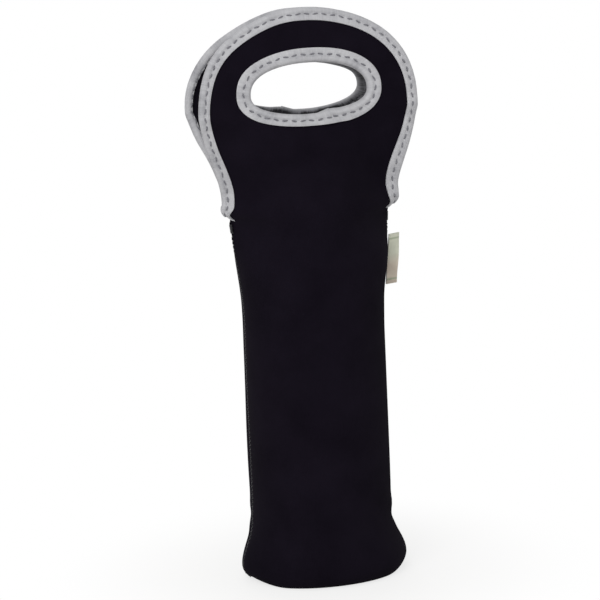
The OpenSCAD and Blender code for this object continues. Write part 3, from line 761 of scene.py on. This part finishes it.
def swept_tape(place, width, side, cycles, lift_more=0.0):
    """Grid of outer and inner points of a tape, and its stitch line on both faces.
    place(c, inside) gives the places on the leaf at a distance c from the edge, one for each step,
    on the outer face or on the inner one."""
    along = np.linspace(0, 1, len(width))
    more = np.broadcast_to(lift_more, width.shape)
    inner_width = width * TAPE_IN_SHARE
    middle = np.maximum(width / 2, NOSE_IN + THREAD_IN)
    needle = 1 - np.abs(np.mod(along * cycles * 2 + 0.5, 1) - 0.5) * 2

    def relief(c, end):
        far = np.abs(c - middle)
        puff = PUFF * (1 - bell(far / PUFF_REACH)) * ease((end - c) / RIM_REACH)
        return puff - DIMPLE * bell(far / DIMPLE_REACH) * needle ** 2

    def flat(c, inside=False):
        q = place(c, inside)
        return leaf_at(q[:, 0], q[:, 1], side)

    rows_out, rows_in = [], []
    for s in np.linspace(1, 0, FLAT_STEPS):
        c = NOSE_IN + (width - NOSE_IN) * s
        p, n = flat(c)
        top = TAPE_GAP + TAPE_T + relief(c, width) + more
        rows_out.append((p + n * top[:, None], p + n * (TAPE_GAP + more)[:, None]))
        c = NOSE_IN + (inner_width - NOSE_IN) * s
        q, m = flat(c, True)
        deep = SHEET_T + TAPE_GAP + TAPE_T + relief(c, inner_width) + more
        rows_in.append((q - m * deep[:, None], q - m * (SHEET_T + TAPE_GAP + more)[:, None]))
    start, normal = flat(np.full(len(width), NOSE_IN))
    beyond, _ = flat(np.full(len(width), NOSE_IN + STEP_IN))
    away = unit(start - beyond)
    away = unit(away - normal * (away * normal).sum(1, keepdims=True))
    centre = start - normal * NOSE_IN
    puff = relief(np.full(len(width), NOSE_IN), width)
    nose = []
    for turn in np.linspace(0, math.pi, NOSE_STEPS + 1)[1:-1]:
        way = normal * math.cos(turn) + away * math.sin(turn)
        upright = abs(math.cos(turn))
        lap = more * mix(LAP_AT_TURN, 1, upright)
        outer_r = NOSE_IN + TAPE_GAP + TAPE_T + lap + puff * upright
        inner_r = NOSE_IN + TAPE_GAP + lap
        nose.append((centre + way * outer_r[:, None], centre + way * inner_r[:, None]))
    rows = rows_out + nose + rows_in[::-1]
    outer, inner = (np.stack([row[k] for row in rows], 1) for k in (0, 1))
    for skin in (outer, inner):
        skin[..., 1] = np.minimum(skin[..., 1], -BOND)
    guides = []
    height = TAPE_GAP + TAPE_T + more - DIMPLE / 2
    for inside, up in ((False, height), (True, -SHEET_T - height)):
        p, n = flat(middle, inside)
        q, _ = flat(middle - STEP_IN, inside)
        guides.append((p + n * up[:, None], unit(q - p), -n if inside else n))
    return outer, inner, guides


def tape_piece(name, outer, inner, side, inner_shade=0.0):
    """A tape with its wear and painted shade, the width of its cut strip, and its length."""
    length = np.broadcast_to(arc_length(outer, 0).mean(1)[:, None], outer.shape[:2])
    across = arc_length(outer, 1)
    turn = np.linspace(-1, 1, outer.shape[1])
    # Wear darkens the turn, and painted shade darkens the hollow beside the thread
    hollow = bell((across - HOLLOW_SHARE * across[:, [-1]]) / DIMPLE_REACH)
    wear_painted_shade_border = TURN_WEAR * np.clip(1 - np.abs(turn) * TURN_NARROW, 0, 1) + HOLLOW_SHADE * hollow
    # Painted shade on the inner half of a hand tape, for the shadow between the two leaves
    inside = np.broadcast_to(inner_shade, outer.shape[:1])[:, None] * ease((turn - 0.05) / 0.3)
    piece = folded_strip(name, outer, inner, TAPE, across, length, wear_painted_shade_border + inside, side, sharp=60)
    return piece, np.median(across[:, -1]), length.max()


def even_line(line, count):
    """The same line with its points spaced evenly."""
    s = arc_length(line, 0)
    t = np.linspace(0, s[-1], count)
    return np.stack([np.interp(t, s, line[:, k]) for k in range(2)], -1), s[-1]


def steady_ends(ways):
    """The same directions, with those near both ends of the tape all alike."""
    ways[:END_POINTS], ways[-END_POINTS:] = ways[END_POINTS], ways[-END_POINTS - 1]
    return ways


# The heights at which the tape ends, and the points along it
RIGHT_END, LEFT_END = 228.2, 228.0
EDGE_COUNT, END_POINTS = 381, 10
STITCH_PITCH = 5.3
line = leaf_outline()
line = line[line[:, 1] > np.where(line[:, 0] > 0, RIGHT_END, LEFT_END)]
EDGE_LINE, EDGE_LENGTH = even_line(line, EDGE_COUNT)
EDGE_IN = steady_ends(inward(EDGE_LINE))
EDGE_ALONG = steady_ends(unit(np.gradient(EDGE_LINE, axis=0)))
EDGE_CYCLES = round(EDGE_LENGTH / STITCH_PITCH / 2)
print("edge tape:", round(EDGE_LENGTH), "mm long,", 2 * EDGE_CYCLES, "stitches of", STITCH_PITCH, "mm")

# %% [markdown]
# Along the outer edge the tape starts and ends at a seam top, where its end is cut at a slant. It was
# laid by hand, so its width on the outer face wanders: it is widest near its right end and narrowest
# down the left side. Round the hand opening it is one strip. It starts and ends in the lower edge,
# right of the middle on the front leaf and left of it on the rear one, and steps up there.

# %% Both tapes of each leaf
# The edge tape's width in mm at each share of its length, from the right end to the left one
WIDTH_AT = [0, 0.07, 0.14, 0.2, 0.27, 0.34, 0.42, 0.5, 0.6, 0.68, 0.74, 0.8, 0.88, 0.95, 1]
WIDTHS = [7.4, 8.4, 6.9, 6.4, 6.6, 7.2, 7.5, 7.0, 6.9, 6.5, 5.9, 5.5, 6.0, 6.9, 6.3]
# How far the ends slant for each mm from the edge, and over which length
RIGHT_SLANT, LEFT_SLANT, SLANT_OVER = -0.35, 0.6, 15
edge_share = np.linspace(0, 1, EDGE_COUNT)
EDGE_WIDTH = through(WIDTH_AT, WIDTHS, edge_share)
near_right = ease((SLANT_OVER - edge_share * EDGE_LENGTH) / SLANT_OVER)
SLANT = (RIGHT_SLANT * near_right + LEFT_SLANT * near_right[::-1])[:, None] * EDGE_ALONG


def edge_place(c, inside):
    c = np.asarray(c)[..., None]
    return EDGE_LINE + EDGE_IN * c + SLANT * (NOSE_IN if inside else c)


# The angle at which the hand tape starts, how far it laps over itself, and where that lap rises
JOIN_START, JOIN_OVER = math.radians(-82), math.radians(9)
LAP_FROM, LAP_RISE, LAP_GAP = math.radians(-4), math.radians(6), 0.1
HAND_COUNT = 361
hand_angles = JOIN_START + np.linspace(0, 2 * math.pi + JOIN_OVER, HAND_COUNT)
LAPPED = ease((hand_angles - JOIN_START - 2 * math.pi - LAP_FROM) / LAP_RISE)
# At each angle from the lowest point: how far the tape lies towards the opening, and its width
from_low = (np.degrees(hand_angles) + 270) % 360 - 180
SHIFT = through([-180, -80, -30, 6, 18, 30, 50, 180], [0, 0, -0.6, -0.6, 0.9, 0.3, 0, 0], from_low)
HAND_WIDTH = through([-180, -90, -20, 6, 18, 45, 90, 180], [7.0, 8.2, 6.5, 6.5, 8.0, 7.8, 7.4, 7.0], from_low)
# Painted shade on its inner half, for the shadow between the two leaves, which is strongest low in the
# opening
SHADE_ABOVE, SHADE_BELOW = 1.1, 1.7
HAND_SHADE = mix(SHADE_ABOVE, SHADE_BELOW, ease((90 - np.abs(from_low)) / 60))
HAND_CYCLES = round(arc_length(hand_point(hand_angles, HAND_WIDTH / 2), 0)[-1] / STITCH_PITCH / 2)
HAND_WAY = {"front": np.array([1, 1]), "rear": np.array([-1, 1])}


def hand_place(c, way):
    return hand_point(hand_angles, np.asarray(c) - SHIFT) * way


TAPES, GUIDES = {}, {}
for side in SEEDS:
    outer, inner, guides = swept_tape(edge_place, EDGE_WIDTH, side, EDGE_CYCLES)
    piece, across, length = tape_piece(f"{side}_edge_tape", outer, inner, side)
    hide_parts(f"{side}_edge_binding")
    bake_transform(piece)
    TAPES[side, "edge"], GUIDES[side, "edge"] = (piece, across, length), guides

    outer, inner, guides = swept_tape(lambda c, inside: hand_place(c, HAND_WAY[side]), HAND_WIDTH, side,
                                      HAND_CYCLES, LAPPED * (TAPE_T + LAP_GAP))
    piece, across, length = tape_piece(f"{side}_hand_tape", outer, inner, side, inner_shade=HAND_SHADE)
    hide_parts(f"{side}_hand_binding")
    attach(piece, f"{side}_leaf")
    TAPES[side, "hand"], GUIDES[side, "hand"] = (piece, across, length), guides
for (side, kind), (piece, across, length) in TAPES.items():
    print(piece.name, "cut", round(across, 1), "x", round(length), "mm")

# %% [markdown]
# Every seam on the carrier is a zigzag: the thread goes down through the cloth on one side, up and
# over to the other side, and down again. That repeats, so Geometry Nodes make it. The tree takes a
# guide line that knows its own sideways and upward directions, spaces points along it, pushes them
# to and fro, lifts them between the holes, and runs a thin round thread through them.

# %% The zigzag tree
# Points in one leg of the zigzag, from hole to hole
LEG_POINTS = 8


def zigzag_tree():
    tree = bpy.data.node_groups.new("zigzag_thread", "GeometryNodeTree")
    tree.interface.new_socket("Guide", in_out="INPUT", socket_type="NodeSocketGeometry")
    for name, kind, value in (("Stitches", "NodeSocketInt", 10), ("Width", "NodeSocketFloat", 0.0018),
                              ("Lift", "NodeSocketFloat", 0.0003), ("Sink", "NodeSocketFloat", 0.0),
                              ("Thread radius", "NodeSocketFloat", 0.0003),
                              ("Thread", "NodeSocketMaterial", None)):
        socket = tree.interface.new_socket(name, in_out="INPUT", socket_type=kind)
        if value is not None:
            socket.default_value = value
    tree.interface.new_socket("Sewn", in_out="OUTPUT", socket_type="NodeSocketGeometry")
    given = add(tree, "NodeGroupInput").outputs
    points = {0: given["Stitches"], 1: 2.0 * LEG_POINTS, 2: 1.0}
    count = add(tree, "ShaderNodeMath", points, operation="MULTIPLY_ADD")
    line = add(tree, "GeometryNodeMeshToCurve", {"Mesh": given["Guide"]})
    even = add(tree, "GeometryNodeResampleCurve", {"Curve": line, "Count": count}, mode="COUNT")
    index = add(tree, "GeometryNodeInputIndex")
    there_and_back = add(tree, "ShaderNodeMath", {0: index, 1: float(LEG_POINTS)}, operation="PINGPONG")
    swing = {0: there_and_back, 1: 2 / LEG_POINTS, 2: -1.0}
    sway = add(tree, "ShaderNodeMath", swing, operation="MULTIPLY_ADD")
    squared = add(tree, "ShaderNodeMath", {0: sway, 1: sway}, operation="MULTIPLY")
    rise = add(tree, "ShaderNodeMath", {0: 1.0, 1: squared}, operation="SUBTRACT")
    half = add(tree, "ShaderNodeMath", {0: given["Width"], 1: 0.5}, operation="MULTIPLY")
    aside = add(tree, "ShaderNodeMath", {0: sway, 1: half}, operation="MULTIPLY")
    over = add(tree, "ShaderNodeMath", {0: rise, 1: given["Lift"]}, operation="MULTIPLY")
    under = add(tree, "ShaderNodeMath", {0: squared, 1: given["Sink"]}, operation="MULTIPLY")
    over = add(tree, "ShaderNodeMath", {0: over, 1: under}, operation="SUBTRACT")
    side = add(tree, "GeometryNodeInputNamedAttribute", {"Name": "side"}, data_type="FLOAT_VECTOR")
    up = add(tree, "GeometryNodeInputNamedAttribute", {"Name": "up"}, data_type="FLOAT_VECTOR")
    moved = add(tree, "ShaderNodeVectorMath", {0: side, "Scale": aside}, operation="SCALE")
    lifted = add(tree, "ShaderNodeVectorMath", {0: up, "Scale": over}, operation="SCALE")
    offset = add(tree, "ShaderNodeVectorMath", {0: moved, 1: lifted}, operation="ADD")
    path = add(tree, "GeometryNodeSetPosition", {"Geometry": even, "Offset": offset})
    ring = add(tree, "GeometryNodeCurvePrimitiveCircle", {"Resolution": 6, "Radius": given["Thread radius"]})
    tube = add(tree, "GeometryNodeCurveToMesh", {"Curve": path, "Profile Curve": ring, "Fill Caps": True})
    smooth = add(tree, "GeometryNodeSetShadeSmooth", {"Geometry": tube})
    real = add(tree, "GeometryNodeRealizeInstances", {"Geometry": smooth})
    dyed = add(tree, "GeometryNodeSetMaterial", {"Geometry": real, "Material": given["Thread"]})
    add(tree, "NodeGroupOutput", {"Sewn": dyed})
    return tree


ZIGZAG = zigzag_tree()
SOCKET = {s.name: s.identifier for s in ZIGZAG.interface.items_tree if s.in_out == "INPUT"}
# Each row's zigzag in mm. Sink is how deep the thread goes down at each hole.
TAPE_ZIGZAG = {"Width": 1.3, "Lift": 0.35, "Sink": 1.8, "Thread radius": 0.55}
SIDE_ZIGZAG = {"Width": 3.2, "Lift": 0.3, "Sink": 0.35, "Thread radius": 0.22}
TACK_ZIGZAG = {"Width": 3.4, "Lift": 0.15, "Sink": 1.0, "Thread radius": 0.26}
BASE_ZIGZAG = {"Width": 2.2, "Lift": 0.2, "Sink": 0.0, "Thread radius": 0.2}


def sew(name, guides, stitches, zigzag, material, side="front"):
    """Runs the tree along each guide line and joins the threads into one plain mesh."""
    whole = bmesh.new()
    flip = np.array([1, -1 if side == "rear" else 1, 1])
    for line, aside, up in guides:
        mesh = bpy.data.meshes.new("guide")
        mesh.from_pydata((line * flip * MM).tolist(), [(i, i + 1) for i in range(len(line) - 1)], [])
        for key, way in (("side", aside), ("up", up)):
            mesh.attributes.new(key, "FLOAT_VECTOR", "POINT").data.foreach_set("vector", (way * flip).ravel())
        guide = placed("guide", mesh)
        modifier = guide.modifiers.new("zigzag", "NODES")
        modifier.node_group = ZIGZAG
        modifier[SOCKET["Stitches"]] = stitches
        modifier[SOCKET["Thread"]] = material
        for key, value in zigzag.items():
            modifier[SOCKET[key]] = value * MM
        sewn = bpy.data.meshes.new_from_object(guide.evaluated_get(bpy.context.evaluated_depsgraph_get()))
        whole.from_mesh(sewn)
        bpy.data.objects.remove(guide)
    bmesh.ops.recalc_face_normals(whole, faces=whole.faces)
    mesh = bpy.data.meshes.new(name)
    whole.to_mesh(mesh)
    whole.free()
    mesh.materials.clear()
    mesh.materials.append(material)
    print(name, len(mesh.polygons), "faces")
    return placed(name, mesh)


# %% [markdown]
# The tape's thread is thick. Each leg of its narrow zigzag lies on the tape for three millimetres and
# then sinks into the hole that the needle made, so it reads as a row of short slanting dashes.

# %% Thread on the tapes
for side in SEEDS:
    piece = sew(f"{side}_edge_stitches", GUIDES[side, "edge"], EDGE_CYCLES, TAPE_ZIGZAG, TAPE_THREAD, side)
    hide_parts(f"{side}_edge_stitching")
    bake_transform(piece)
    piece = sew(f"{side}_hand_stitches", GUIDES[side, "hand"], HAND_CYCLES, TAPE_ZIGZAG, TAPE_THREAD, side)
    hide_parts(f"{side}_hand_stitching")
    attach(piece, f"{side}_leaf")

# %% [markdown]
# The two sheets lie edge to edge, and a flat black zigzag holds them together: up each side, round
# the ears, and along the middle of the base. Each side ends in a bar tack, the same zigzag packed
# tight. The guide lines run in the valley between the sheets.

# %% Thread on the seams
# In mm: the length of one zigzag up a side, and how deep its guide line lies in the valley
SIDE_PITCH, GUIDE_DEPTH = 2.6, 0.4
# The tack's stitches, and how far it stays below the seam top and inside the side seam
TACK_STITCHES, TACK_BELOW, TACK_IN = 11, 0.8, 0.1
# The base seam's stitches, and the share of the base that they cover
BASE_STITCHES, BASE_SHARE = 40, 0.98
ACROSS = (0.0, 1.0, 0.0)


def alike(way, line):
    """One direction, given for each point of a line."""
    return np.broadcast_to(way, line.shape)


def side_guide(way):
    """A line up one side seam, from the base to the bar tack, and the ways out of it."""
    column = 0 if way < 0 else -1
    line, up = BODY_POINTS[:, column].copy(), BODY_NORMALS[:, column]
    line[:, 1] = 0
    keep = line[:, 2] <= SEAM_Z - TACK_H
    return line[keep], up[keep]


for name, way in (("left", -1), ("right", 1)):
    line, up = side_guide(way)
    guide = (line - up * GUIDE_DEPTH, alike(ACROSS, line), up)
    stitches = round(arc_length(line, 0)[-1] / SIDE_PITCH)
    piece = sew(f"{name}_seam_thread", [guide], stitches, SIDE_ZIGZAG, SEAM_THREAD)
    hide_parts(f"{name}_seam_stitching")
    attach(piece, "body")
    heights = np.linspace(SEAM_Z - TACK_H, SEAM_Z - TACK_BELOW, 12)
    sideways = way * (foot_half(heights) - TACK_IN) + lie_off(way, heights)[0]
    line = np.stack([sideways, 0 * heights, heights], -1)
    guide = (line, alike(ACROSS, line), alike((float(way), 0.0, 0.0), line))
    piece = sew(f"{name}_tack_thread", [guide], TACK_STITCHES, TACK_ZIGZAG, SEAM_THREAD)
    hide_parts(f"{name}_bar_tack")
    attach(piece, "body")

right_half = BODY_POINTS[0, COLUMNS // 2:]
end_x = right_half[-1, 0] * BASE_SHARE
reach = np.linspace(-end_x, end_x, 61)
line = np.stack([reach, 0 * reach, np.interp(np.abs(reach), right_half[:, 0], right_half[:, 2])], -1)
guide = (line, alike(ACROSS, line), alike((0.0, 0.0, -1.0), line))
piece = sew("base_seam_thread", [guide], BASE_STITCHES, BASE_ZIGZAG, SEAM_THREAD)
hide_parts("base_seam_stitching")
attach(piece, "body")

# %% [markdown]
# The label is a short ribbon folded in two, with both ends caught in the right side seam. It is
# swept in code along a long narrow U, with a soft wave and a little curl at its upper corner,
# because a real one never stands out straight.

# %% The side label
# In mm. The label stands out a little less than in the part's source, as it does in the photograph.
LABEL_H, LABEL_W, LABEL_CLOTH, LABEL_T = 31.0, 7.3, 0.4, 1.6
LABEL_ROOT, LABEL_LOW, LABEL_LEAN = 46.2733, 177.0, math.radians(5.62419)
# Where the ribbon leaves the seam, how it rises outwards, its wave and the curl of its upper corner
LABEL_START, LABEL_RISE, LABEL_WAVE, LABEL_CURL = 0.2, 0.08, 0.55, 0.7
# How far the seam lies to the right beside the label
SEAM_OFF = LIE["right"][LIE_Z.index(203)]
# The woven lines, as shares of the way from the label's middle to its ends
LINE_FROM, LINE_TO = 0.8, 0.87
HALF_POINTS, TURN_POINTS, LABEL_ROWS = 14, 9, 33
gap_half = (LABEL_T - LABEL_CLOTH) / 2
straight = LABEL_W - LABEL_CLOTH / 2 - gap_half
half = np.linspace(LABEL_START, straight, HALF_POINTS)
bow = np.linspace(0, math.pi, TURN_POINTS)[1:-1]
out = np.concatenate([half, straight + gap_half * np.sin(bow), half[::-1]])
thick = np.concatenate([0 * half + gap_half, gap_half * np.cos(bow), 0 * half - gap_half])
section = np.stack([out, thick], -1)
along = unit(np.gradient(section, axis=0))
outwards = np.stack([-along[:, 1], along[:, 0]], -1)
rows = np.linspace(0, 1, LABEL_ROWS)


def label_skin(offset):
    s = section + outwards * offset
    h, o = rows[:, None], s[None, :, 0]
    sway = LABEL_WAVE * np.sin(2.6 * h * math.pi + 0.4) + LABEL_CURL * ease((h - 0.7) / 0.3)
    o, y = np.broadcast_arrays(o, s[None, :, 1] + (o / LABEL_W) ** 1.5 * sway)
    up = h * LABEL_H + 0.0 * o
    x = LABEL_ROOT + SEAM_OFF + o * math.cos(LABEL_LEAN) + up * math.sin(LABEL_LEAN)
    z = LABEL_LOW + LABEL_RISE * o + up * math.cos(LABEL_LEAN)
    return np.stack([x, y, z], -1)


outer, inner = label_skin(LABEL_CLOTH / 2), label_skin(-LABEL_CLOTH / 2)
from_middle = np.abs(rows - 0.5) * 2
woven = ((from_middle > LINE_FROM) & (from_middle < LINE_TO)).astype(float)
label = folded_strip("side_label_ribbon", outer, inner, RIBBON, arc_length(outer, 1), rows[:, None] * LABEL_H,
                     woven[:, None])
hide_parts("side_label")
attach(label, "label")
print("label ribbon:", LABEL_H, "x", round(float(arc_length(section, 0)[-1]), 1), "mm")

# %% [markdown]
# The carrier stands on a plain pale floor under soft light. The floor and the world look white to the
# camera through Light Path, while the lamps stay at a plain level. Near the foot the floor keeps a
# quarter of its own shading, so the soft shadow there stays, and further away it runs into white.

# %% Floor, world and lamps
FLOOR_HALF = 40


def seen_directly(tree):
    rays = add(tree, "ShaderNodeLightPath").outputs
    camera_ray, glossy_ray = rays["Is Camera Ray"], rays["Is Glossy Ray"]
    first = add(tree, "ShaderNodeMath", {0: camera_ray, 1: glossy_ray}, operation="MAXIMUM")
    return add(tree, "ShaderNodeMath", {0: first, 1: rays["Is Transmission Ray"]}, operation="MAXIMUM")


floor_material, tree, shader = new_material("painted_floor_white", Roughness=0.9, Specular_IOR_Level=0.2)
shader.inputs["Base Color"].default_value = hex_colour("#f2f1ef")
glow = add(tree, "ShaderNodeEmission", {"Color": (1, 1, 1, 1), "Strength": 1.0})
place = add(tree, "ShaderNodeTexCoord").outputs["Object"]
far = add(tree, "ShaderNodeVectorMath", {0: place}, operation="LENGTH").outputs["Value"]
fade = {"Value": far, "From Min": 0.05, "From Max": 0.18, "To Min": 0.75, "To Max": 1.0}
whiter = add(tree, "ShaderNodeMapRange", fade, interpolation_type="SMOOTHSTEP")
share = add(tree, "ShaderNodeMath", {0: seen_directly(tree), 1: whiter.outputs[0]}, operation="MULTIPLY")
both = add(tree, "ShaderNodeMixShader", {0: share, 1: shader, 2: glow})
fill(tree, next(n for n in tree.nodes if n.type == "OUTPUT_MATERIAL"), {"Surface": both})
floor_mesh = bpy.data.meshes.new("floor")
corners = [(x * FLOOR_HALF, y * FLOOR_HALF, 0) for x, y in ((-1, -1), (1, -1), (1, 1), (-1, 1))]
floor_mesh.from_pydata(corners, [], [(0, 1, 2, 3)])
floor_mesh.materials.append(floor_material)
floor = placed("floor", floor_mesh)

world = bpy.data.worlds.new("white_studio")
bpy.context.scene.world = world
world.use_nodes = True
tree = world.node_tree
tree.nodes.clear()
ambient = add(tree, "ShaderNodeBackground", {"Color": (1, 1, 1, 1), "Strength": 0.5})
white = add(tree, "ShaderNodeBackground", {"Color": (1, 1, 1, 1), "Strength": 1.0})
both = add(tree, "ShaderNodeMixShader", {0: seen_directly(tree), 1: ambient, 2: white})
add(tree, "ShaderNodeOutputWorld", {"Surface": both})


def soft_box(name, place, target, size, power):
    lamp = bpy.data.lights.new(name, "AREA")
    lamp.shape, lamp.size, lamp.energy = "SQUARE", size, power
    way = Vector(target) - Vector(place)
    turn = way.to_track_quat("-Z", "Y").to_matrix().to_4x4()
    placed(name, lamp).matrix_world = Matrix.Translation(place) @ turn


soft_box("key", (-1.1, -1.5, 1.6), (0, 0, 0.2), 1.4, 26)
soft_box("fill", (1.6, -1.2, 0.9), (0, 0, 0.2), 1.4, 2)
soft_box("back", (0.3, 1.8, 1.5), (0, 0, 0.25), 1.4, 12)

# %% [markdown]
# The camera's place, aim and lens were worked out from the widths and heights of the carrier in the
# photograph. It looks slightly down from the front left, and leans by nearly three degrees.

# %% Camera
# Lengths in mm and angles in degrees. The focal length is in dots of a picture 600 dots wide.
AZIMUTH, REACH, HEIGHT = -14.707, 1442.859, 447.202
PITCH, YAW, ROLL, FOCAL = -10.807, 0.293, -2.691, 2403.828
PICTURE_W, SENSOR_W = 600, 36


def camera_matrix():
    a, p, r = (math.radians(v) for v in (AZIMUTH, PITCH, ROLL))
    aim = math.radians(AZIMUTH + YAW)
    place = Vector((math.sin(a) * REACH, -math.cos(a) * REACH, HEIGHT)) * MM
    forward = Vector((-math.sin(aim) * math.cos(p), math.cos(aim) * math.cos(p), math.sin(p)))
    right = Vector((math.cos(aim), math.sin(aim), 0))
    up = right.cross(forward)
    right, up = right * math.cos(r) + up * math.sin(r), up * math.cos(r) - right * math.sin(r)
    turn = Matrix((right, up, -forward)).transposed()
    return Matrix.Translation(place) @ turn.to_4x4()


camera_data = bpy.data.cameras.new("camera")
camera_data.sensor_fit, camera_data.sensor_width = "HORIZONTAL", SENSOR_W
camera_data.lens = SENSOR_W * FOCAL / PICTURE_W
camera_data.clip_start, camera_data.clip_end = 0.05, 100
camera = placed("camera", camera_data)
camera.matrix_world = camera_matrix()
bpy.context.scene.camera = camera
bpy.context.scene.view_settings.view_transform = "Standard"
print("camera at", [round(v, 3) for v in camera.matrix_world.translation], "lens", round(camera_data.lens, 1))
